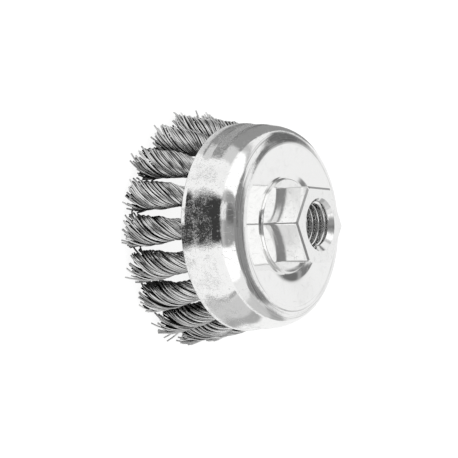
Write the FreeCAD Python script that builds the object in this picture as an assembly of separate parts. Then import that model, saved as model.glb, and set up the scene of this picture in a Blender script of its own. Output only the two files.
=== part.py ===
import FreeCAD, Part
import math
import os

# Twisted-knot wire cup brush, standing on its wire ends with the arbor nut on top.
# The brush turns about +Z, and the origin is on that axis at the wire ends.
# Everything is in millimetres.

# Whole brush
knot_count = 18
trim_length = 18.5
fit_gap = 0.1
rope_gap = 0.3

# Pressed cup
mouth_radius = 30.0
band_height = 4.0
band_step = 0.6
rim_round = 0.45
sheet = 1.5
cup_depth = 17.6
shoulder_height = 9.6
shoulder_width = 5.4
dish_depth = 2.0
seat_radius = 14.3

# Flanged arbor nut, M14 x 2
thread_minor_radius = 5.92
across_flats = 21.0
flats_turn_deg = -3.1
corner_round = 0.5
nut_height = 11.2
front_bevel = 0.82
bevel_drop = 0.55
countersink_width = 1.58
flange_radius = 13.55
flange_height = 0.75
flange_draft = 0.25
foot_cone_run = 3.3
foot_cone_height = 0.76
neck_radius = 9.0
lip_width = 1.6
lip_height = 1.3

# Plate that the knots are looped round
plate_sheet = 2.0
plate_web = 1.3
hub_slope_run = 2.2
side_gap = 1.0

# One knot: a bundle of wires bent over the plate, its two legs twisted into a rope
leg_radius = 1.8
join_drop = 4.5
lobe_offset = 1.6
root_lobe_radius = 2.95
tip_lobe_radius = 4.75
join_waist = 0.56
root_waist = 0.88
tip_waist = 0.92
tip_ring_radius = 29.3
flare_drop = 7.0
flare_share = 0.74
root_twist_rate = 0.36
tip_twist_rate = 0.20
strand_count = 12
strand_depth = 0.35
rope_rows = 24
leg_sides = 12
bend_steps = 6

# Heights worked out from the sizes above
rim_z = trim_length
crown_z = rim_z + cup_depth
seat_z = crown_z - dish_depth
hub_top_z = seat_z - sheet
hub_bottom_z = hub_top_z - plate_sheet

# Radii of the cup, from the mouth inwards
wall_radius = mouth_radius - band_step
crown_radius = wall_radius - shoulder_width
inner_mouth_radius = mouth_radius - sheet
inner_wall_radius = wall_radius - sheet

# Legs of a knot stand each side of the plate's edge
outer_leg_radius = inner_wall_radius - side_gap - leg_radius
plate_radius = outer_leg_radius - leg_radius - rope_gap
hole_radius = leg_radius + rope_gap
inner_leg_radius = plate_radius - plate_web - hole_radius
bend_radius = (outer_leg_radius - inner_leg_radius) / 2
bend_centre_radius = (outer_leg_radius + inner_leg_radius) / 2
dish_slope = dish_depth / (crown_radius - seat_radius)
crown_under_bend_z = hub_top_z + dish_slope * (bend_centre_radius - seat_radius)
ring_top_z = crown_under_bend_z - rope_gap - leg_radius - bend_radius
ring_bottom_z = ring_top_z - plate_sheet
join_z = ring_bottom_z - join_drop


def vector(radius, height):
    """A point in the XZ plane, at a radius from the axis."""
    return FreeCAD.Vector(radius, 0, height)


def line(start, end):
    return Part.LineSegment(vector(*start), vector(*end)).toShape()


def quarter_round(centre, radius, first_deg, last_deg):
    """A circular arc in the XZ plane about a centre, from one angle to another."""
    points = []
    for share in (0, 0.5, 1):
        angle = math.radians(first_deg + (last_deg - first_deg) * share)
        points.append(vector(centre[0] + radius * math.cos(angle), centre[1] + radius * math.sin(angle)))
    return Part.Arc(*points).toShape()


def shoulder(radius, width, height):
    """The quarter ellipse from the wall up to the crown, as an edge from wall to crown."""
    centre = vector(radius - width, crown_z - shoulder_height)
    wall_point = centre + FreeCAD.Vector(width, 0, 0)
    crown_point = centre + FreeCAD.Vector(0, 0, height)
    if height >= width:
        ellipse = Part.Ellipse(crown_point, wall_point, centre)
    else:
        ellipse = Part.Ellipse(wall_point, crown_point, centre)
    first, last = sorted((ellipse.parameter(wall_point), ellipse.parameter(crown_point)))
    if last - first > math.pi:
        first, last = last, first + 2 * math.pi
    return Part.ArcOfEllipse(ellipse, first, last).toShape()


def turned(edges):
    """The solid that a closed XZ outline sweeps about the brush's axis."""
    wire = Part.Wire(Part.sortEdges(edges)[0])
    solid = Part.Face(wire).revolve(FreeCAD.Vector(0, 0, 0), FreeCAD.Vector(0, 0, 1), 360)
    return solid


def outline(points):
    """Straight edges through the points and back to the first one."""
    return [line(a, b) for a, b in zip(points, points[1:] + points[:1])]


def make_cup():
    """Pressed sheet cup: rolled band, wall, rounded shoulder and a dished back with a hole."""
    hole = neck_radius + fit_gap
    band_top_z = rim_z + band_height
    shoulder_z = crown_z - shoulder_height
    outside = [
        quarter_round((mouth_radius - rim_round, rim_z + rim_round), rim_round, -90, 0),
        line((mouth_radius, rim_z + rim_round), (mouth_radius, band_top_z)),
        line((mouth_radius, band_top_z), (wall_radius, band_top_z + band_step)),
        line((wall_radius, band_top_z + band_step), (wall_radius, shoulder_z)),
        shoulder(wall_radius, shoulder_width, shoulder_height),
        line((crown_radius, crown_z), (seat_radius, seat_z)),
        line((seat_radius, seat_z), (hole, seat_z)),
        line((hole, seat_z), (hole, hub_top_z)),
    ]
    inside = [
        line((hole, hub_top_z), (seat_radius, hub_top_z)),
        line((seat_radius, hub_top_z), (crown_radius, crown_z - sheet)),
        shoulder(inner_wall_radius, shoulder_width - sheet, shoulder_height - sheet),
        line((inner_wall_radius, shoulder_z), (inner_wall_radius, band_top_z + band_step)),
        line((inner_wall_radius, band_top_z + band_step), (inner_mouth_radius, band_top_z)),
        line((inner_mouth_radius, band_top_z), (inner_mouth_radius, rim_z + rim_round)),
        quarter_round((inner_mouth_radius + rim_round, rim_z + rim_round), rim_round, 180, 270),
        line((inner_mouth_radius + rim_round, rim_z), (mouth_radius - rim_round, rim_z)),
    ]
    return turned(outside + inside)


def hexagon(flats, height):
    """A hexagon with rounded corners at a height, turned from having one corner towards -Y."""
    edges = []
    centre_to_corner = flats / math.sqrt(3)
    round_centre = centre_to_corner - corner_round / math.cos(math.radians(30))
    ends = []
    for side in range(6):
        corner_deg = -90 + flats_turn_deg + 60 * side
        corner = math.radians(corner_deg)
        points = []
        for turn in (-30, 0, 30):
            angle = math.radians(corner_deg + turn)
            x = round_centre * math.cos(corner) + corner_round * math.cos(angle)
            y = round_centre * math.sin(corner) + corner_round * math.sin(angle)
            points.append(FreeCAD.Vector(x, y, height))
        edges.append(Part.Arc(*points).toShape())
        ends.append((points[0], points[2]))
    for side in range(6):
        edges.append(Part.LineSegment(ends[side][1], ends[(side + 1) % 6][0]).toShape())
    return Part.Wire(Part.sortEdges(edges)[0])


def make_nut():
    """Hexagon on a round flange that slopes up to it, with a neck and a lip rolled under the plate."""
    front_z = seat_z + nut_height
    bevel_z = front_z - bevel_drop
    foot_z = hub_bottom_z - lip_height
    flange_top_z = seat_z + flange_height
    flange = turned(outline([
        (0, foot_z),
        (neck_radius + lip_width, foot_z),
        (neck_radius + lip_width, hub_bottom_z),
        (neck_radius, hub_bottom_z),
        (neck_radius, seat_z),
        (flange_radius, seat_z),
        (flange_radius - flange_draft, flange_top_z),
        (flange_radius - flange_draft - foot_cone_run, flange_top_z + foot_cone_height),
        (0, flange_top_z + foot_cone_height),
    ]))
    body = Part.Face(hexagon(across_flats, seat_z)).extrude(FreeCAD.Vector(0, 0, bevel_z - seat_z))
    bevelled = [hexagon(across_flats, bevel_z), hexagon(across_flats - 2 * front_bevel, front_z)]
    bevel = Part.makeLoft(bevelled, True, True)
    mouth_radius_of_thread = thread_minor_radius + countersink_width
    bore = turned(outline([
        (0, foot_z - 1),
        (mouth_radius_of_thread + 1, foot_z - 1),
        (thread_minor_radius, foot_z + countersink_width),
        (thread_minor_radius, front_z - countersink_width),
        (mouth_radius_of_thread + 1, front_z + 1),
        (0, front_z + 1),
    ]))
    return flange.fuse([body, bevel]).removeSplitter().cut(bore)


def make_plate():
    """Stepped disc with a raised hub and one hole for each knot."""
    hub_radius = seat_radius - fit_gap
    cone_foot_radius = hub_radius + hub_slope_run
    hole = neck_radius + fit_gap
    slope_shift = plate_sheet * hub_slope_run / (hub_top_z - ring_top_z + hub_slope_run)
    plate = turned(outline([
        (hole, hub_top_z),
        (hub_radius, hub_top_z),
        (cone_foot_radius, ring_top_z),
        (plate_radius, ring_top_z),
        (plate_radius, ring_bottom_z),
        (cone_foot_radius - slope_shift, ring_bottom_z),
        (hub_radius - slope_shift, hub_bottom_z),
        (hole, hub_bottom_z),
    ]))
    drill = Part.makeCylinder(hole_radius, plate_sheet + 2, vector(inner_leg_radius, ring_bottom_z - 1))
    drills = [on_ring(drill, index) for index in range(knot_count)]
    return plate.cut(drills)


def on_ring(shape, index):
    """A copy of a shape made at +X, turned to its place in the ring. The first is at -Y."""
    copy = shape.copy()
    copy.rotate(FreeCAD.Vector(0, 0, 0), FreeCAD.Vector(0, 0, 1), -90 + 360 / knot_count * index)
    return copy


def rope_line():
    """Centre line of the rope from the join down to the wire ends, in the XZ plane."""
    join_radius = outer_leg_radius - lobe_offset
    rim_radius = inner_mouth_radius - rope_gap - root_lobe_radius
    flare_radius = rim_radius + (tip_ring_radius - rim_radius) * flare_share
    points = [vector(join_radius, join_z), vector(rim_radius, rim_z),
              vector(flare_radius, rim_z - flare_drop), vector(tip_ring_radius, 0)]
    curve = Part.BSplineCurve()
    curve.interpolate(Points=points, InitialTangent=FreeCAD.Vector(0, 0, -1),
                      FinalTangent=FreeCAD.Vector(0, 0, -1))
    return curve


def rope_row(curve, parameter, run):
    """Corners of a two-lobed outline square to the centre line, turned further the lower it is."""
    point = curve.value(parameter)
    along = FreeCAD.Vector(*curve.tangent(parameter)[0])
    sideways = FreeCAD.Vector(0, 1, 0)
    outwards = sideways.cross(along)
    if outwards.x < 0:
        outwards = outwards * -1
    if point.z > rim_z:
        share = (join_z - point.z) / (join_z - rim_z)
        lobe = lobe_offset + leg_radius + strand_depth
        lobe += (root_lobe_radius - lobe) * share
        waist = lobe * (join_waist + (root_waist - join_waist) * share)
    else:
        share = (rim_z - point.z) / rim_z
        lobe = root_lobe_radius + (tip_lobe_radius - root_lobe_radius) * math.sin(math.pi / 2 * share)
        waist = lobe * (root_waist + (tip_waist - root_waist) * share)
    rate_gain = (tip_twist_rate - root_twist_rate) / (2 * curve.length())
    twist = root_twist_rate * run + rate_gain * run ** 2
    corners = []
    for step in range(2 * strand_count):
        around = math.pi * step / strand_count
        groove = strand_depth * (step % 2)
        reach = math.hypot(lobe * math.cos(around), waist * math.sin(around)) - groove
        angle = around - twist
        corners.append(point + outwards * (reach * math.cos(angle)) + sideways * (reach * math.sin(angle)))
    return corners


def flat_face(corners):
    return Part.Face(Part.makePolygon(corners + corners[:1]))


def faceted(rows):
    """A solid of flat triangles between one row of corners and the next, with flat ends."""
    faces = [flat_face(rows[0]), flat_face(rows[-1])]
    for upper, lower in zip(rows, rows[1:]):
        for index in range(len(upper)):
            following = (index + 1) % len(upper)
            faces.append(flat_face([upper[index], upper[following], lower[following]]))
            faces.append(flat_face([upper[index], lower[following], lower[index]]))
    shell = Part.Shell(faces)
    shell.sewShape()
    solid = Part.Solid(shell)
    if solid.Volume < 0:
        solid.reverse()
    return solid


def leg_row(point, direction_deg):
    """Corners of a round leg's outline, square to a direction in the XZ plane."""
    direction = math.radians(direction_deg)
    across = FreeCAD.Vector(math.sin(direction), 0, -math.cos(direction))
    sideways = FreeCAD.Vector(0, 1, 0)
    corners = []
    for step in range(leg_sides):
        angle = 2 * math.pi * step / leg_sides
        corners.append(point + across * (leg_radius * math.cos(angle)) + sideways * (leg_radius * math.sin(angle)))
    return corners


def make_legs():
    """The bundle up its outer leg, over the plate's edge, down through the hole and back to the rope."""
    foot_z = join_z - leg_radius / 2
    foot = vector(outer_leg_radius - 2 * lobe_offset, foot_z)
    elbow = vector(inner_leg_radius, ring_bottom_z - 1.5 * rope_gap)
    loop = [leg_row(vector(outer_leg_radius, foot_z), 90)]
    for step in range(bend_steps + 1):
        turn = math.radians(180 * step / bend_steps)
        point = vector(bend_centre_radius + bend_radius * math.cos(turn), ring_top_z + bend_radius * math.sin(turn))
        loop.append(leg_row(point, 90 + math.degrees(turn)))
    lean_deg = math.degrees(math.atan2(foot.z - elbow.z, foot.x - elbow.x)) + 360
    mitre = leg_row(elbow, (270 + lean_deg) / 2)
    return [faceted(loop + [mitre]), faceted([mitre, leg_row(foot, lean_deg)])]


def make_knot():
    """One looped bundle: a bend over the plate, two legs, and the twisted rope below."""
    curve = rope_line()
    rows = []
    for index in range(rope_rows):
        run = curve.length() * index / (rope_rows - 1)
        rows.append(rope_row(curve, curve.parameterAtDistance(run), run))
    return faceted(rows).fuse(make_legs()).removeSplitter()


def save(shape, name):
    """Writes one node, and prints how large and how sound it is."""
    shape.exportStep("parts/" + name + ".step")
    box = shape.BoundBox
    print(name, "solids", len(shape.Solids), "valid", shape.isValid(), "volume", round(shape.Volume, 1),
          "z", round(box.ZMin, 2), round(box.ZMax, 2), "reach", round(box.XMax, 2), round(box.YMax, 2))


os.makedirs("parts", exist_ok=True)
save(make_cup(), "cup_shell")
save(make_nut(), "arbor_nut")
save(make_plate(), "knot_plate")
knot = make_knot()
for index in range(knot_count):
    save(on_ring(knot, index), "knot_%02d" % (index + 1))
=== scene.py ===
import math
import random

import bpy
import numpy as np
from mathutils import Matrix, Vector


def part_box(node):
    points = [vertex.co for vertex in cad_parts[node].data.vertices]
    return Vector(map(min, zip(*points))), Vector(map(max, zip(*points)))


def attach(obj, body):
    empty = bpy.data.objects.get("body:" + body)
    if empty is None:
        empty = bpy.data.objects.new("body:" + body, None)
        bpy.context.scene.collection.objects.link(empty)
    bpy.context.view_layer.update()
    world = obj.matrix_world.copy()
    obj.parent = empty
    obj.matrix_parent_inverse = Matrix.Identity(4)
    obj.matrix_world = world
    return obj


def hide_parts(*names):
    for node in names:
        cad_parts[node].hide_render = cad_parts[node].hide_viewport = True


mm = 0.001
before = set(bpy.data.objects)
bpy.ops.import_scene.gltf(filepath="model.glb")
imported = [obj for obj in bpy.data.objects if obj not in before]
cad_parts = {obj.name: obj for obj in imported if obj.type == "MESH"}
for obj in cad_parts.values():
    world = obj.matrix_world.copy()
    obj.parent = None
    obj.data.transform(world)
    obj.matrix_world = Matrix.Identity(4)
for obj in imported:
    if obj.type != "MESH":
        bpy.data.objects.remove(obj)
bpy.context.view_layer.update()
print("frame loaded,", len(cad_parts), "nodes")


# Shader maths

class Value:  # a shader socket that Python's own operators work on
    def __init__(self, shader, socket):
        self.shader = shader
        self.socket = socket

    def maths(self, operation, *others):
        inputs = {index: other for index, other in enumerate((self,) + others)}
        return self.shader.node("ShaderNodeMath", {"operation": operation}, inputs)

    def __add__(self, other):
        return self.maths("ADD", other)

    def __sub__(self, other):
        return self.maths("SUBTRACT", other)

    def __mul__(self, other):
        return self.maths("MULTIPLY", other)

    def __truediv__(self, other):
        return self.maths("DIVIDE", other)

    def __rsub__(self, other):
        return self * -1 + other

    __radd__ = __add__
    __rmul__ = __mul__


class Shader:
    def __init__(self, owner):
        owner.use_nodes = True
        self.tree = owner.node_tree
        self.tree.nodes.clear()

    def node(self, kind, settings=None, inputs=None, output=0):
        made = self.tree.nodes.new(kind)
        for name, setting in (settings or {}).items():
            setattr(made, name, setting)
        for name, value in (inputs or {}).items():
            if isinstance(value, Value):
                self.tree.links.new(value.socket, made.inputs[name])
            else:
                made.inputs[name].default_value = value
        return Value(self, made.outputs[output]) if len(made.outputs) else made

    def split(self, vector):
        source = self.node("ShaderNodeSeparateXYZ", inputs={0: vector})
        sockets = source.socket.node.outputs
        return [Value(self, sockets[index]) for index in range(3)]

    def join(self, x, y, z):
        return self.node("ShaderNodeCombineXYZ", inputs={0: x, 1: y, 2: z})

    def ramp(self, value, low, high):  # 0 below low, 1 above high, eased between
        limits = {"Value": value, "From Min": low, "From Max": high}
        return self.node("ShaderNodeMapRange", {"interpolation_type": "SMOOTHSTEP"}, limits)

    def span(self, value, low, high, soft):  # 1 between low and high, 0 outside
        rise = self.ramp(value, low - soft, low + soft)
        fall = self.ramp(value, high - soft, high + soft)
        return rise * (1 - fall)

    def noise(self, vector, scale, detail=2.0):
        inputs = {"Vector": vector, "Scale": scale, "Detail": detail}
        return self.node("ShaderNodeTexNoise", inputs=inputs)

    def mix(self, factor, first, second):  # two colours
        inputs = {0: factor, 6: first, 7: second}
        return self.node("ShaderNodeMix", {"data_type": "RGBA"}, inputs, output=2)

    def bump(self, height, distance, normal=None):
        inputs = {"Height": height, "Distance": distance, "Strength": 1.0}
        if normal:
            inputs["Normal"] = normal
        return self.node("ShaderNodeBump", inputs=inputs)


def grey(level):
    return (level, level, level * 0.995, 1)


def newMaterial(name):
    material = bpy.data.materials.new(name)
    return material, Shader(material)


def finishMaterial(shader, colour, roughness, normal, metallic=1.0):
    inputs = {"Base Color": colour, "Roughness": roughness, "Metallic": metallic, "Normal": normal}
    surface = shader.node("ShaderNodeBsdfPrincipled", inputs=inputs)
    shader.node("ShaderNodeOutputMaterial", inputs={"Surface": surface})


# Camera and studio

camera = {
    "distance": 0.5,
    "elevation": 34.0,  # above the plane of the wire ends
    "roll": -1.9,
    "aimHeight": 26.5 * mm,  # point on the brush's axis that stands at aimPixel in the photo
    "aimPixel": (264.9, 226.4),
    "pictureSize": 458,
    "focalPixels": 1742.0,
    "sensor": 36.0,
}


def addCamera():
    tilt, roll = math.radians(camera["elevation"]), math.radians(camera["roll"])
    back = Vector((0, -math.cos(tilt), math.sin(tilt)))
    # the brush's axis runs right in the picture, and +X runs down
    rise = Vector((0, math.sin(tilt), math.cos(tilt)))
    side = Vector((1, 0, 0))
    right = rise * math.cos(roll) - side * math.sin(roll)
    up = -rise * math.sin(roll) - side * math.cos(roll)
    middle = camera["pictureSize"] / 2
    across, down = middle - camera["aimPixel"][0], middle - camera["aimPixel"][1]
    aim = (right * across - up * down - back * camera["focalPixels"]).normalized()
    right = (right - aim * right.dot(aim)).normalized()
    place = Vector((0, 0, camera["aimHeight"])) + back * camera["distance"]
    lens = camera["focalPixels"] / camera["pictureSize"] * camera["sensor"]
    bpy.ops.object.camera_add(location=place)
    made = bpy.context.object
    made.data.sensor_width, made.data.lens = camera["sensor"], lens
    turned = Matrix((right, (-aim).cross(right), -aim)).transposed().to_4x4()
    made.matrix_world = Matrix.Translation(place) @ turned
    bpy.context.scene.camera = made
    return made


studio = {
    "floorSize": 6.0,
    "floorColour": 0.35,
    "floorGlow": 0.90,  # what is added to the floor where the camera sees it
    "floorMirrored": 0.96,  # how bright the floor looks in the metal
    "wall": 0.72,
    "ceiling": 0.27,
    "ceilingEdge": 49,  # elevation, and how softly it starts
    "ceilingSoft": 6,
    # direction seen from the brush: azimuth from -Y towards +X, elevation, in degrees, edge, level
    "patches": [
        (-128, -88, -12, 40, 4, 0.56),
        (84, 122, -14, 36, 4, 0.60),
        (121, 141, -30, 36, 4, 0.42),
        (140, 260, -40, 66, 5, 0.92),
        (-166, -130, 6, 38, 6, 0.16),
        (-163, -138, 38, 52, 3, 0.20),
        (80, 150, 42, 53, 4, 0.24),
        (-45, 24, 6, 60, 9, 0.34),
        (-26, -4, 18, 58, 7, 0.15),
        (-34, 20, -50, 2, 5, 0.10),
        (-27, -9, -3, 15, 2, 0.84),
        (-86, -40, -6, 52, 3, 1.15),
        (21, 60, -5, 54, 3, 1.15),
        (60, 84, -14, 54, 4, 0.86),
    ],
    # painted reflections: grey cards painted into the floor, seen only in the metal: azimuths, edge,
    # distances from its axis, level
    "paintedCards": [
        (-58, -40, 5, 60, 450, 0.93),
        (-31, 15, 4, 51, 3000, 0.045),
        (-4, 15, 2, 37, 53, 0.045),
        (66, 71, 1.5, 50, 450, 0.40),
        (71, 95, 3, 50, 450, 0.62),
        (95, 110, 3, 48, 450, 0.42),
        (-135, -66, 2, 40, 450, 0.66),
        (-80, -66, 2, 56.5, 75, 0.20),
        (-100, -80, 2, 53.5, 75, 0.20),
        (-135, -100, 2, 50, 75, 0.20),
        (-160, -84, 2, 75, 3000, 0.30),
        (-80, -66, 2, 61.5, 66, 0.42),
        (-100, -80, 2, 57.5, 63.5, 0.42),
        (-135, -100, 2, 53, 59, 0.42),
    ],
    "cardSoft": 1.5,  # of a card's near and far ends
    "paintedShadowReach": 34,  # painted shadow: the floor under the brush is dark in the metal, out to here
    "paintedShadowSoft": 3,
    "paintedShadowLevel": 0.06,
}


def addWorld():
    world = bpy.data.worlds.new("studio")
    bpy.context.scene.world = world
    shader = Shader(world)
    x, y, z = shader.split(shader.node("ShaderNodeTexCoord", output="Generated"))
    degree = 180 / math.pi
    azimuth = x.maths("ARCTAN2", y * -1) * degree
    elevation = z.maths("ARCSINE") * degree
    edge, soft = studio["ceilingEdge"], studio["ceilingSoft"]
    light = shader.ramp(elevation, edge - soft, edge + soft)
    light = light * (studio["ceiling"] - studio["wall"]) + studio["wall"]
    for left, right, low, high, edge, level in studio["patches"]:
        inside = shader.span(azimuth, left, right, edge)
        if right > 180:
            inside = inside + shader.span(azimuth, left - 360, right - 360, edge)
        inside = inside * shader.span(elevation, low, high, edge)
        light = light + (level - light) * inside
    seen = shader.node("ShaderNodeLightPath", output="Is Camera Ray")
    light = light * (1 - seen) + seen
    surface = shader.node("ShaderNodeBackground", inputs={"Color": shader.join(light, light, light)})
    shader.node("ShaderNodeOutputWorld", inputs={"Surface": surface})


def addFloor():
    bpy.ops.mesh.primitive_plane_add(size=studio["floorSize"])
    made = bpy.context.object
    made.name = "floor"
    material, shader = newMaterial("paleFloor")
    x, y, z = shader.split(shader.node("ShaderNodeTexCoord", output="Object"))
    azimuth = x.maths("ARCTAN2", y * -1) * (180 / math.pi)
    reach = (x * x + y * y).maths("SQRT") / mm
    mirrored = studio["floorMirrored"]
    # painted reflections: the cards exist only in what the metal sees of the floor
    for left, right, edge, near, far, level in studio["paintedCards"]:
        inside = shader.span(azimuth, left, right, edge)
        inside = inside * shader.span(reach, near, far, studio["cardSoft"])
        mirrored = mirrored + (level - mirrored) * inside
    # painted shadow under the brush, seen only in the metal
    end, soft = studio["paintedShadowReach"], studio["paintedShadowSoft"]
    under = shader.ramp(reach, end - soft, end + soft)
    mirrored = (mirrored - studio["paintedShadowLevel"]) * under + studio["paintedShadowLevel"]
    glossy = shader.node("ShaderNodeLightPath", output="Is Glossy Ray")
    direct = shader.node("ShaderNodeLightPath", output="Is Camera Ray")
    through = shader.node("ShaderNodeLightPath", output="Is Transmission Ray")
    shown = shader.node("ShaderNodeBsdfDiffuse", inputs={"Color": grey(studio["floorColour"])})
    strength = (direct + through) * studio["floorGlow"]
    glow = shader.node("ShaderNodeEmission", inputs={"Strength": strength})
    both = shader.node("ShaderNodeAddShader", inputs={0: shown, 1: glow})
    reflected = shader.node("ShaderNodeEmission", inputs={"Strength": mirrored})
    surface = shader.node("ShaderNodeMixShader", inputs={0: glossy, 1: both, 2: reflected})
    shader.node("ShaderNodeOutputMaterial", inputs={"Surface": surface})
    made.data.materials.append(material)


# Modelling helpers

def deselect():
    if bpy.context.mode != "OBJECT":
        bpy.ops.object.mode_set(mode="OBJECT")
    bpy.ops.object.select_all(action="DESELECT")


def wrapGrid(name, rows, turn, start=0.0):
    # A flat grid is rolled up into a closed ring: each row is the radius and height at every angle.
    deselect()
    bpy.ops.mesh.primitive_grid_add(x_subdivisions=turn, y_subdivisions=len(rows), size=1)
    made = bpy.context.object
    made.name = made.data.name = name
    flat = np.array([v.co for v in made.data.vertices])
    column = np.rint((flat[:, 0] + 0.5) * turn).astype(int)
    line = np.rint((flat[:, 1] + 0.5) * len(rows)).astype(int) % len(rows)
    angle = 2 * np.pi * (column % turn) / turn + math.radians(start)
    radius = np.array([row[0] for row in rows])[line, column % turn]
    height = np.array([row[1] for row in rows])[line, column % turn]
    places = np.stack([radius * np.cos(angle), radius * np.sin(angle), height], 1) * mm
    made.data.vertices.foreach_set("co", places.astype(np.float32).ravel())
    bpy.ops.object.mode_set(mode="EDIT")
    bpy.ops.mesh.select_all(action="SELECT")
    bpy.ops.mesh.remove_doubles(threshold=1e-7)
    bpy.ops.mesh.normals_make_consistent(inside=False)
    bpy.ops.object.mode_set(mode="OBJECT")
    return made


def smooth(made, degrees):
    deselect()
    made.select_set(True)
    bpy.context.view_layer.objects.active = made
    bpy.ops.object.shade_smooth_by_angle(angle=math.radians(degrees))


def finishPiece(made, material, slotName, *nodes):
    made.data.materials.clear()
    made.data.materials.append(material)
    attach(made, "root")
    if nodes:
        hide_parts(*nodes)
    print(made.name, len(made.data.polygons), "faces")


def corner(centre, radius, firstDeg, lastDeg, steps):
    angles = np.radians(np.linspace(firstDeg, lastDeg, steps))
    return [(centre[0] + radius * math.cos(a), centre[1] + radius * math.sin(a)) for a in angles]


def ease(value, low, high):  # 0 below low, 1 above high
    share = np.clip((value - low) / (high - low), 0, 1)
    return share * share * (3 - 2 * share)


def straight(start, end, steps):  # the points after start, up to end
    shares = [step / steps for step in range(1, steps + 1)]
    return [(start[0] + (end[0] - start[0]) * s, start[1] + (end[1] - start[1]) * s) for s in shares]


# Cup

cup = {
    "turn": 320,  # columns round the cup
    "sheet": 1.5,
    "bandHeight": 4.0,
    "bandStep": 0.6,  # how much wider the band is than the wall
    "stepRise": 3.2,  # height over which the band eases into the wall
    "rimCurl": 0.16,  # the band leans in by this much at the mouth, below the next height
    "curlHeight": 1.5,
    "rimRound": 0.45,
    "shoulderHeight": 9.6,
    "shoulderWidth": 5.4,
    "crownSpread": 1.1,  # the shoulder is drawn out near the crown, from the next angle on
    "crownFrom": 50,
    "dishDepth": 2.0,
    "seatRadius": 13.7,
    "rampEnds": (14.4, 16.6),  # the back is steeper next to the seat, and eases between these radii
    "rampSlope": 2.8,  # as a share of the slope further out
    "holeRadius": 9.1,
    "arcSteps": 26,
}


def arcOfShoulder(radius, width, top, height, spread=0.0):
    found = []
    for degrees in np.linspace(0, 90, cup["arcSteps"]):
        angle = math.radians(degrees)
        inwards = width * (1 - math.cos(angle)) + spread * ease(degrees, cup["crownFrom"], 90)
        found.append((radius - inwards, top - height + height * math.sin(angle)))
    return found


def dishedBack(crownRadius, crown):  # the points after the crown, down to the seat
    radii = np.linspace(crownRadius, cup["seatRadius"], 24)
    slopes = 1 + (cup["rampSlope"] - 1) * (1 - ease(radii, *cup["rampEnds"]))
    drops = np.cumsum((slopes[1:] + slopes[:-1]) / 2)
    heights = crown - cup["dishDepth"] * drops / drops[-1]
    return list(zip(radii[1:], heights))


def makeCup():
    low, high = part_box("cup_shell")
    rim, crown, mouth = low.z / mm, high.z / mm, high.x / mm
    wall, sheet = mouth - cup["bandStep"], cup["sheet"]
    bandTop, seat = rim + cup["bandHeight"], crown - cup["dishDepth"]
    inner = mouth - sheet
    crownRadius = wall - cup["shoulderWidth"]
    rounding = cup["rimRound"]
    stepStart = bandTop + (cup["bandStep"] - cup["stepRise"]) / 2
    outside = corner((mouth - cup["rimCurl"] - rounding, rim + rounding), rounding, -90, 0, 7)
    outside += straight(outside[-1], (mouth, rim + cup["curlHeight"]), 4)
    outside += straight(outside[-1], (mouth, stepStart), 4)
    for share in np.linspace(0.1, 1, 10):
        radius = mouth - cup["bandStep"] * ease(share, 0, 1)
        outside.append((radius, stepStart + cup["stepRise"] * share))
    width, height = cup["shoulderWidth"], cup["shoulderHeight"]
    outside += arcOfShoulder(wall, width, crown, height, cup["crownSpread"])
    outside += dishedBack(crownRadius - cup["crownSpread"], crown)
    outside += straight(outside[-1], (cup["holeRadius"], seat), 4)
    inside = [(cup["holeRadius"], seat - sheet)]
    inside += straight(inside[-1], (cup["seatRadius"], seat - sheet), 4)
    inside += straight(inside[-1], (crownRadius, crown - sheet), 8)
    inside += arcOfShoulder(wall - sheet, width - sheet, crown - sheet, height - sheet)[::-1][1:]
    inside += straight(inside[-1], (wall - sheet, bandTop + cup["bandStep"]), 1)
    inside += straight(inside[-1], (inner, bandTop), 3)
    inside += straight(inside[-1], (inner, rim + rounding), 3)
    inside += corner((inner + rounding, rim + rounding), rounding, 180, 270, 7)[1:]
    ones = np.ones(cup["turn"])
    made = wrapGrid("cup", [(ones * r, ones * z) for r, z in outside + inside], cup["turn"])
    smooth(made, 40)
    return made


# Arbor nut

nut = {
    "turn": 300,  # columns round the nut, with one on each corner
    "flats": 21.0,
    "turned": -3.1,  # degrees from having a corner straight towards -Y
    "cornerOff": 0.1,  # how far the corners are rounded off
    "bevel": 0.6,
    "bevelDrop": 0.4,
    "minorRadius": 5.92,
    "majorRadius": 7.0,
    "pitch": 2.0,
    "countersink": 1.58,
    "rowStep": 0.11,
    "flangeRadius": 13.55,
    "flangeHeight": 0.75,
    "flangeDraft": 0.25,
    "dished": 0.36,  # how much the flange's top falls inwards, down to the radius below
    "dishedFrom": 11.9,
    "neckRadius": 9.0,
    "lipWidth": 1.6,
    "lipHeight": 1.3,
    "edgeSoft": 0.12,
}


def hexOutline(angles, flats):
    fromFlat = np.mod(angles - math.radians(nut["turned"]) + math.pi / 6, math.pi / 3) - math.pi / 6
    side = flats / 2 / np.cos(fromFlat)
    return np.minimum(side, flats / math.sqrt(3) - nut["cornerOff"])


def threadRadius(angles, height):  # of the bore, whose thread rises one pitch each turn
    pitch = nut["pitch"]
    along = np.mod(height / pitch - angles / (2 * math.pi), 1) * pitch
    low, high = nut["minorRadius"], nut["majorRadius"]
    places = np.array([0, 0.125, 0.18, 0.25, 0.4, 0.47, 0.53, 0.6, 0.75, 0.82, 0.875, 1]) * pitch
    depths = np.array([0, 0, 0.03, 0.14, 0.78, 0.97, 0.97, 0.78, 0.14, 0.03, 0, 0])
    return np.interp(along, places, low + (high - low) * depths)


def flangeHeight(radius, rim, top):  # of the flange's dished top
    share = np.clip((rim - radius) / (rim - nut["dishedFrom"]), 0, 1)
    return top - nut["dished"] * share


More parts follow.
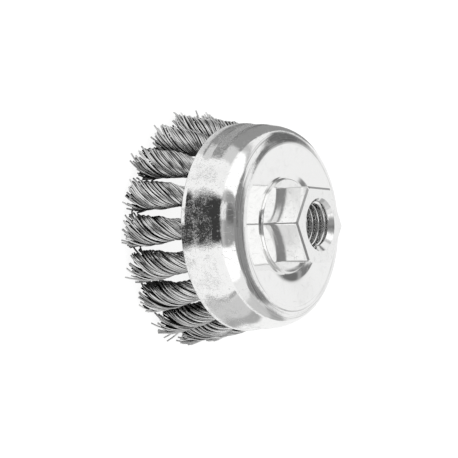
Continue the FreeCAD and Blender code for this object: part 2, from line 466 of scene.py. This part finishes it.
def makeNut():
    low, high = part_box("arbor_nut")
    foot, front = low.z / mm, high.z / mm
    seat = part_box("cup_shell")[1].z / mm - cup["dishDepth"]
    under = foot + nut["lipHeight"]
    turn, soft = nut["turn"], nut["edgeSoft"]
    angles = 2 * math.pi * np.arange(turn) / turn + math.radians(nut["turned"])
    ones = np.ones(turn)
    mouth = nut["minorRadius"] + nut["countersink"]
    rows = []
    for height in np.linspace(foot, front, int((front - foot) / nut["rowStep"])):
        cone = mouth - min(height - foot, front - height)
        rows.append((np.maximum(threadRadius(angles, height), cone), ones * height))
    face = hexOutline(angles, nut["flats"] - 2 * nut["bevel"])
    for share in (0.02, 0.3, 0.6, 0.96, 1):
        rows.append((ones * mouth * (1 - share) + face * share, ones * front))
    body = hexOutline(angles, nut["flats"])
    bevelFoot = front - nut["bevelDrop"]
    for share in (0.12, 0.5, 0.88, 1):
        rows.append((face * (1 - share) + body * share, ones * (front - nut["bevelDrop"] * share)))
    flangeTop = seat + nut["flangeHeight"]
    rim = nut["flangeRadius"] - nut["flangeDraft"]
    for share in (0.02, 0.25, 0.5, 0.75, 0.98, 1):
        rows.append((body, bevelFoot * (1 - share) + flangeHeight(body, rim, flangeTop) * share))
    for share in (0.05, 0.3, 0.55, 0.8, 0.95):
        radius = body * (1 - share) + rim * share
        rows.append((radius, flangeHeight(radius, rim, flangeTop)))
    for radius, height in [(rim - soft, flangeTop), (rim, flangeTop - soft / 2),
                           (nut["flangeRadius"], seat + soft), (nut["flangeRadius"] - soft, seat),
                           (nut["neckRadius"], seat), (nut["neckRadius"], under),
                           (nut["neckRadius"] + nut["lipWidth"] - soft, under),
                           (nut["neckRadius"] + nut["lipWidth"], under - soft),
                           (nut["neckRadius"] + nut["lipWidth"], foot + 4 * soft),
                           (nut["neckRadius"] + nut["lipWidth"] - 4 * soft, foot)]:
        rows.append((ones * radius, ones * height))
    made = wrapGrid("arborNut", rows, turn, nut["turned"])
    smooth(made, 24)
    softenThread(made)
    return made


def softenThread(made):  # no creases inside the bore, whose turns run across the grid
    sharp = made.data.attributes.get("sharp_edge")
    for edge in made.data.edges:
        first, second = [made.data.vertices[index].co for index in edge.vertices]
        if math.hypot(*((first + second) / 2).to_2d()) < (nut["majorRadius"] + 0.1) * mm:
            sharp.data[edge.index].value = False


# Knots

knot = {
    "count": 18,
    "seed": 41,
    "wire": 0.235,  # radius
    "layers": (17, 14, 9, 4),  # wires of one strand, from the outside of the rope inwards
    "layerDepth": 0.42,
    "legPitch": 0.462,
    "legRadius": 25.1,
    "innerLegRadius": 19.6,
    "legRise": 6.5,  # from the join to the bend over the plate
    "bendHeight": 29.41,
    "elbowHeight": 26.96,
    "joinHeight": 22.91,
    "joinRadius": 23.5,
    "joinOffset": 1.6,
    "rimRadius": 25.25,
    "flareRadius": 28.25,
    "flareDrop": 7.0,
    "tipRadius": 29.3,
    "rootRope": 2.95,
    "tipRope": 4.75,
    "rootWaist": 0.88,
    "tipWaist": 0.92,
    "rootTwist": 0.36,
    "tipTwist": 0.20,
    "ropeSteps": 24,
    "bendSteps": 8,
    "ends": (0.5, 2.3),
    "strayShare": 0.12,
    "strayEnds": (0.05, 0.9),
    "splay": 0.9,
    "straySplay": 2.6,
    "splayLength": 7.0,
    "push": (-0.05, 1.0),  # how far a loose end goes outwards, as a share of the splay
    "drift": 0.4,  # and to the side
    "longer": (-0.4, 0.6),  # how much higher or lower one knot's ends are than the next one's
    "innerShade": 0.2,  # painted shade: each layer inwards is darker by this share
    "turnIn": 0.97,  # the outermost wires of a half stop a little short of its edge
    "layerStep": 0.17,
    "slide": 0.045,  # how far a wire slides round the rope, and how fast
    "slideRate": 0.35,
    "wander": 0.10,  # and in and out
    "wanderRate": 0.6,
    "loose": 0.14,  # how unevenly the wires lie in the rope
    "uneven": 0.045,  # and how unevenly they are spaced round it
    "gapDepth": (0.12, 0.62),  # painted shade: the wires darken between these depths under the rope's surface
    "neighbour": (0.1, 2.6),  # and at these distances from the next knot
    # painted shade: the darkest share, right beside the next knot
    "neighbourShade": 0.2,
}


def ropeLine(rim):
    # Middle of the rope: a curve of fifth degree through four points, upright at both ends.
    top = knot["joinHeight"]
    places = [(0, knot["tipRadius"]), (rim - knot["flareDrop"], knot["flareRadius"]),
              (rim, knot["rimRadius"]), (top, knot["joinRadius"])]
    powers = np.arange(6)
    lines = [[float(z) ** p for p in powers] for z, r in places]
    for z in (0.0, top):
        lines.append([p * z ** (p - 1) if p else 0.0 for p in powers])
    factors = np.linalg.solve(np.array(lines), np.array([r for z, r in places] + [0, 0]))[::-1]
    heights = np.linspace(0, top, 60)
    lean = np.arctan(-np.polyval(np.polyder(factors), heights))
    steps = np.diff(heights) / np.cos((lean[1:] + lean[:-1]) / 2)
    run = np.append(np.cumsum(steps[::-1])[::-1], 0)
    return heights, np.polyval(factors, heights), lean, run


def strandPattern():
    # Each wire's place in the round leg, and its angle and layer in the rope's half.
    found = []
    for row in range(-5, 6):
        for column in range(-6, 7):
            x, y = column + row % 2 / 2, row * math.sqrt(3) / 2
            found.append((round(math.hypot(x - 0.2, y - 0.1), 3), row, x, y))
    legs = sorted(sorted(found)[:sum(knot["layers"])], key=lambda leg: (leg[1], leg[2]))
    halves = []
    for layer, number in enumerate(knot["layers"]):
        for wire in range(number):
            angle = math.pi * ((wire + 0.5) / number - 0.5) * knot["turnIn"]
            reach = 1 - knot["layerStep"] * layer
            halves.append((reach * math.sin(angle), reach * math.cos(angle), angle, layer))
    halves.sort()
    places = []
    for row in sorted({leg[1] for leg in legs}):
        inRow = [leg for leg in legs if leg[1] == row]
        part = sorted(halves[:len(inRow)], key=lambda half: half[1])
        halves = halves[len(inRow):]
        places += [(leg[2], leg[3], half[2], half[3]) for leg, half in zip(inRow, part)]
    return places


def ropePath(place, side, end, line, rim, splay, chance):
    # One wire from the join down to its loose end, in the knot's own frame: out, sideways, up.
    top, pitch = knot["joinHeight"], knot["legPitch"]
    x, y, angle, layer = place
    heights, radii, leans, runs = line
    length = runs[0]
    gain = (knot["tipTwist"] - knot["rootTwist"]) / (2 * length)
    phase, second = chance.uniform(0, 2 * math.pi), chance.uniform(0, 2 * math.pi)
    sunk = abs(chance.gauss(0, knot["loose"]))
    angle += chance.gauss(0, knot["uneven"])
    push, drift = splay * chance.uniform(*knot["push"]), splay * chance.gauss(0, knot["drift"])
    points = []
    for step in range(knot["ropeSteps"] + 1):
        height = top + (end - top) * step / knot["ropeSteps"]
        run, lean = np.interp(height, heights, runs), np.interp(height, heights, leans)
        low = min(1, max(0, (rim - height) / rim))
        opening = math.sin(math.pi / 2 * low)
        rope = knot["rootRope"] + (knot["tipRope"] - knot["rootRope"]) * opening
        waist = rope * (knot["rootWaist"] + (knot["tipWaist"] - knot["rootWaist"]) * low)
        scale = rope / knot["rootRope"]
        slide = angle + knot["slide"] * math.sin(run * knot["slideRate"] + phase) * (0.3 + low)
        reach = math.hypot(rope * math.cos(slide), waist * math.sin(slide)) - knot["wire"]
        reach -= (layer * knot["layerDepth"] + sunk) * scale
        reach += knot["wander"] * scale * math.sin(run * knot["wanderRate"] + second) * (0.3 + low)
        out, across = side * reach * math.cos(slide), reach * math.sin(slide)
        if height > rim:
            share = ease((top - height) / (top - rim), 0, 1)
            out = out * share + side * (knot["joinOffset"] + x * pitch) * (1 - share)
            across = across * share + y * pitch * (1 - share)
        twist = knot["rootTwist"] * run + gain * run ** 2
        far = math.hypot(out, across) or 1
        loose = max(0, 1 - (height - end) / knot["splayLength"]) ** 2
        out, across = (out + (out / far * push + across / far * drift) * loose,
                       across + (across / far * push - out / far * drift) * loose)
        turnedOut = out * math.cos(twist) + across * math.sin(twist)
        turnedSide = across * math.cos(twist) - out * math.sin(twist)
        radius = np.interp(height, heights, radii) + turnedOut * math.cos(lean)
        points.append((radius, turnedSide, max(height + turnedOut * math.sin(lean), knot["wire"])))
    return points


def legPath(place):
    # The wire between the two halves of the rope: up, over the plate's edge and down its hole.
    out, across = place[0] * knot["legPitch"], place[1] * knot["legPitch"]
    bend = (knot["legRadius"] - knot["innerLegRadius"]) / 2
    middle = knot["legRadius"] - bend
    points = []
    for share in (0.3, 0.65):
        height = knot["joinHeight"] + knot["legRise"] * share
        points.append((knot["legRadius"] + out, across, height))
    for step in range(knot["bendSteps"] + 1):
        turn = math.pi * step / knot["bendSteps"]
        reach = bend + out
        height = knot["bendHeight"] + reach * math.sin(turn)
        points.append((middle + reach * math.cos(turn), across, height))
    points.append((knot["innerLegRadius"] - out, across, knot["elbowHeight"]))
    return points


def gapShade(places, turn, line, rim):
    # Painted shade for each point of a knot: 1 on the rope's surface, less in its gaps
    # and beside the next knot, where shade falls.
    heights, radii, leans, runs = line
    out = places[:, 0] * math.cos(turn) + places[:, 1] * math.sin(turn)
    across = places[:, 1] * math.cos(turn) - places[:, 0] * math.sin(turn)
    height = places[:, 2]
    radius, run = np.interp(height, heights, radii), np.interp(height, heights, runs)
    out = (out - radius) * np.cos(np.interp(height, heights, leans))
    low = np.clip((rim - height) / rim, 0, 1)
    rope = knot["rootRope"] + (knot["tipRope"] - knot["rootRope"]) * np.sin(math.pi / 2 * low)
    waist = rope * (knot["rootWaist"] + (knot["tipWaist"] - knot["rootWaist"]) * low)
    gain = (knot["tipTwist"] - knot["rootTwist"]) / (2 * runs[0])
    twist = knot["rootTwist"] * run + gain * run ** 2
    angle = np.arctan2(across, out) + twist
    depth = np.hypot(rope * np.cos(angle), waist * np.sin(angle)) - np.hypot(out, across)
    step = 2 * math.pi / knot["count"]
    nextOut, nextAcross = radius * (math.cos(step) - 1), radius * math.sin(step)
    apart = np.hypot(out - nextOut, np.abs(across) - nextAcross) - rope
    paintedShade = 1 - ease(depth, *knot["gapDepth"])
    return paintedShade * (knot["neighbourShade"] + (1 - knot["neighbourShade"]) * ease(apart, *knot["neighbour"]))


def makeKnot(index, rim):
    chance = random.Random(knot["seed"] + index)
    curve = bpy.data.curves.new("knot", "CURVE")
    curve.dimensions = "3D"
    curve.bevel_depth = knot["wire"] * mm
    curve.bevel_resolution = 1
    curve.use_fill_caps = True
    turn = -math.pi / 2 + 2 * math.pi / knot["count"] * index
    pattern, line = strandPattern(), ropeLine(rim)
    longer = chance.uniform(*knot["longer"])
    for place in pattern:
        halves = []
        for side in (1, -1):
            stray = chance.random() < knot["strayShare"]
            limits, splay = knot["ends"], knot["splay"]
            if stray:
                limits, splay = knot["strayEnds"], knot["straySplay"]
            end = max(0.1, chance.uniform(*limits) + longer) + knot["wire"]
            halves.append(ropePath(place, side, end, line, rim, splay, chance))
        route = halves[0][::-1] + legPath(place) + halves[1]
        spline = curve.splines.new("POLY")
        spline.points.add(len(route) - 1)
        for point, (out, across, height) in zip(spline.points, route):
            x = out * math.cos(turn) - across * math.sin(turn)
            y = out * math.sin(turn) + across * math.cos(turn)
            point.co = (x * mm, y * mm, height * mm, 1)
    made = bpy.data.objects.new("knot%02d" % (index + 1), curve)
    bpy.context.collection.objects.link(made)
    deselect()
    made.select_set(True)
    bpy.context.view_layer.objects.active = made
    bpy.ops.object.convert(target="MESH")
    made = bpy.context.object
    perWire = len(made.data.vertices) // len(pattern)
    # a random tone per wire, with painted shade making each layer further inside the rope darker
    shade = [chance.random() * (1 - knot["innerShade"] * place[3]) for place in pattern]
    toneAndShade = made.data.attributes.new("toneAndShade", "FLOAT", "POINT")
    toneAndShade.data.foreach_set("value", np.repeat(np.array(shade, np.float32), perWire))
    places = np.array([v.co for v in made.data.vertices]) / mm
    # painted shade: darkens the wires in the rope's gaps and beside the next knot
    paintedShadeValues = made.data.attributes.new("paintedShade", "FLOAT", "POINT")
    paintedShadeValues.data.foreach_set("value", gapShade(places, turn, line, rim).astype(np.float32))
    smooth(made, 50)
    return made


# Finishes

def position(shader):  # in millimetres
    place = shader.node("ShaderNodeTexCoord", output="Object")
    return shader.node("ShaderNodeVectorMath", {"operation": "SCALE"}, {0: place, "Scale": 1 / mm})


def scratches(shader, place, scale, width):  # thin broken lines: where a slow noise crosses its middle
    slow = shader.noise(place, scale, 1.0)
    lines = 1 - shader.ramp((slow - 0.5).maths("ABSOLUTE"), width * 0.3, width)
    return lines * shader.ramp(shader.noise(place, scale * 1.7, 1.0), 0.5, 0.6)


cupLook = {
    "level": 0.93,
    "wornLevel": 0.45,
    "roughness": 0.07,
    "dullRoughness": 0.16,
    "mattRoughness": 0.28,
    "mattMetal": 0.3,  # how much less metallic the matt specks are
    "back": (22.6, 24.4),  # the back inside these radii is smoother than the wall
    "drawnRing": (23.2, 26.9),  # the drawing marks lie between these radii
    "upright": (28.0, 30.5),  # the wall is rougher below these heights
    "waves": 0.035,  # depths in millimetres
    "peel": 0.018,
    "pits": 0.03,
    "scratch": 0.009,
    "rings": 0.012,
    "waveScale": 0.16,  # noise scales, per millimetre
    "peelScale": 1.5,
    "pitScale": 2.2,
    "patchScale": 0.3,
    "stainScale": 0.35,
    "ringScale": 3.4,
    "bandLine": (22.9, 0.09),  # a fine line runs round at the band's upper edge: height and width
}


def cupFinish():
    material, shader = newMaterial("zincCup")
    place = position(shader)
    x, y, z = shader.split(place)
    reach = (x * x + y * y).maths("SQRT")
    turn = x.maths("ARCTAN2", y)
    wall = shader.ramp(reach, *cupLook["back"])
    drawn = shader.span(reach, *cupLook["drawnRing"], 0.5) * shader.ramp(z, 30.0, 32.0)
    upright = 1 - shader.ramp(z, *cupLook["upright"])
    patchy = shader.ramp(shader.noise(place, cupLook["patchScale"], 3.0), 0.4, 0.6)
    pits = shader.noise(place, cupLook["pitScale"], 4.0) * ((patchy * 0.3 + 0.65) * upright)
    lineHeight, lineWidth = cupLook["bandLine"]
    bandLine = shader.span(z, lineHeight - lineWidth / 2, lineHeight + lineWidth / 2, lineWidth / 2)
    scale = cupLook["ringScale"]
    marks = shader.noise(shader.join(reach * scale, z * scale, turn * 1.5), 1.0, 3.0)
    peel = shader.noise(place, cupLook["peelScale"], 3.0)
    peel = peel * shader.ramp(shader.noise(place, 0.22, 2.0), 0.35, 0.6)
    stains = shader.noise(place, cupLook["stainScale"], 3.0)
    lines = scratches(shader, place, 0.5, 0.012) * wall + scratches(shader, place, 0.23, 0.004) * 0.5
    lines = lines + bandLine * shader.ramp(stains, 0.4, 0.6)
    worn = shader.ramp(marks, 0.45, 0.75) * drawn + lines * 0.3 + shader.ramp(stains, 0.5, 0.8) * 0.12
    matt = shader.ramp(pits, 0.32, 0.62)
    colour = shader.mix(worn + matt * 0.1, grey(cupLook["level"]), grey(cupLook["wornLevel"]))
    rough = cupLook["roughness"] + worn * cupLook["dullRoughness"] + peel * 0.05
    rough = rough + matt * cupLook["mattRoughness"]
    normal = shader.bump(shader.noise(place, cupLook["waveScale"], 1.0), cupLook["waves"] * mm)
    normal = shader.bump(marks * drawn, cupLook["rings"] * mm, normal)
    normal = shader.bump(pits, cupLook["pits"] * mm, normal)
    normal = shader.bump(peel * (wall * 0.92 + 0.08), cupLook["peel"] * mm, normal)
    normal = shader.bump(lines, cupLook["scratch"] * mm, normal)
    finishMaterial(shader, colour, rough, normal, 1 - matt * cupLook["mattMetal"])
    return material


nutLook = {
    "level": 0.92,
    "wornLevel": 0.5,
    "roughness": 0.08,
    "waves": 0.008,  # depths in millimetres
    "grain": 0.003,
    "scratch": 0.006,
    "waveScale": 0.3,  # noise scales, per millimetre
    "grainScale": 3.0,
    "stainScale": 0.5,
}


def nutFinish():
    material, shader = newMaterial("zincNut")
    place = position(shader)
    x, y, z = shader.split(place)
    reach = (x * x + y * y).maths("SQRT")
    turned = shader.noise(shader.join(reach * 5, z * 1.2, 0.0), 1.0, 2.0)
    grain = shader.noise(place, nutLook["grainScale"], 3.0)
    stains = shader.noise(place, nutLook["stainScale"], 3.0)
    lines = scratches(shader, place, 0.45, 0.008)
    worn = shader.ramp(stains, 0.5, 0.8) * 0.2 + lines * 0.4 + grain * 0.1
    colour = shader.mix(worn, grey(nutLook["level"]), grey(nutLook["wornLevel"]))
    rough = nutLook["roughness"] + worn * 0.2
    normal = shader.bump(shader.noise(place, nutLook["waveScale"], 1.0), nutLook["waves"] * mm)
    outside = shader.ramp(reach, nut["majorRadius"], nut["majorRadius"] + 0.5)
    normal = shader.bump((grain + turned * 0.5) * outside, nutLook["grain"] * mm, normal)
    normal = shader.bump(lines, nutLook["scratch"] * mm, normal)
    finishMaterial(shader, colour, rough, normal)
    return material


wireLook = {
    # painted shade: the level the wires fall to in the gaps and beside the next knot
    "paintedShadeLevel": 0.02,
    "dark": 0.55,
    "light": 0.92,
    "roughness": 0.16,
    "grain": 0.012,  # depth in millimetres
}


def wireFinish():
    material, shader = newMaterial("brightWire")
    place = position(shader)
    # random tone per wire, with painted shade on the inner layers
    toneAndShade = shader.node("ShaderNodeAttribute", {"attribute_name": "toneAndShade"}, output="Fac")
    paintedShade = shader.node("ShaderNodeAttribute", {"attribute_name": "paintedShade"}, output="Fac")
    scuff = shader.noise(place, 1.7, 3.0)
    bright = shader.mix(toneAndShade * 0.8 + scuff * 0.2, grey(wireLook["dark"]), grey(wireLook["light"]))
    # painted shade: the wires go near black in the rope's gaps and beside the next knot
    colour = shader.mix(paintedShade, grey(wireLook["paintedShadeLevel"]), bright)
    rough = toneAndShade * 0.1 + scuff * 0.14 + wireLook["roughness"]
    normal = shader.bump(shader.noise(place, 6.0, 2.0), wireLook["grain"] * mm)
    finishMaterial(shader, colour, rough, normal)
    return material


plateLook = {
    "dark": 0.42,
    "light": 0.58,
    "roughness": 0.3,
    "grain": 0.03,  # depth in millimetres
}


def plateFinish():
    material, shader = newMaterial("plainSheet")
    place = position(shader)
    x, y, z = shader.split(place)
    reach = (x * x + y * y).maths("SQRT")
    mottle = shader.noise(place, 0.5, 4.0)
    rings = shader.noise(shader.join(reach * 4, z * 2, x * 0.1), 1.0, 2.0)
    colour = shader.mix(mottle, grey(plateLook["dark"]), grey(plateLook["light"]))
    normal = shader.bump(rings + mottle, plateLook["grain"] * mm)
    finishMaterial(shader, colour, mottle * 0.2 + plateLook["roughness"], normal)
    return material


# The whole brush

deselect()
addCamera()
addWorld()
addFloor()
print("camera and studio ready")

finishPiece(makeCup(), cupFinish(), "cup_steel", "cup_shell")
finishPiece(makeNut(), nutFinish(), "nut_steel", "arbor_nut")
print("cup and nut made")

brightWire = wireFinish()
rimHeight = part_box("cup_shell")[0].z / mm
for number in range(knot["count"]):
    finishPiece(makeKnot(number, rimHeight), brightWire, "wire_steel", "knot_%02d" % (number + 1))
print("knots made")

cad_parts["knot_plate"].material_slots[0].material = plateFinish()
bpy.context.scene.view_settings.view_transform = "Standard"
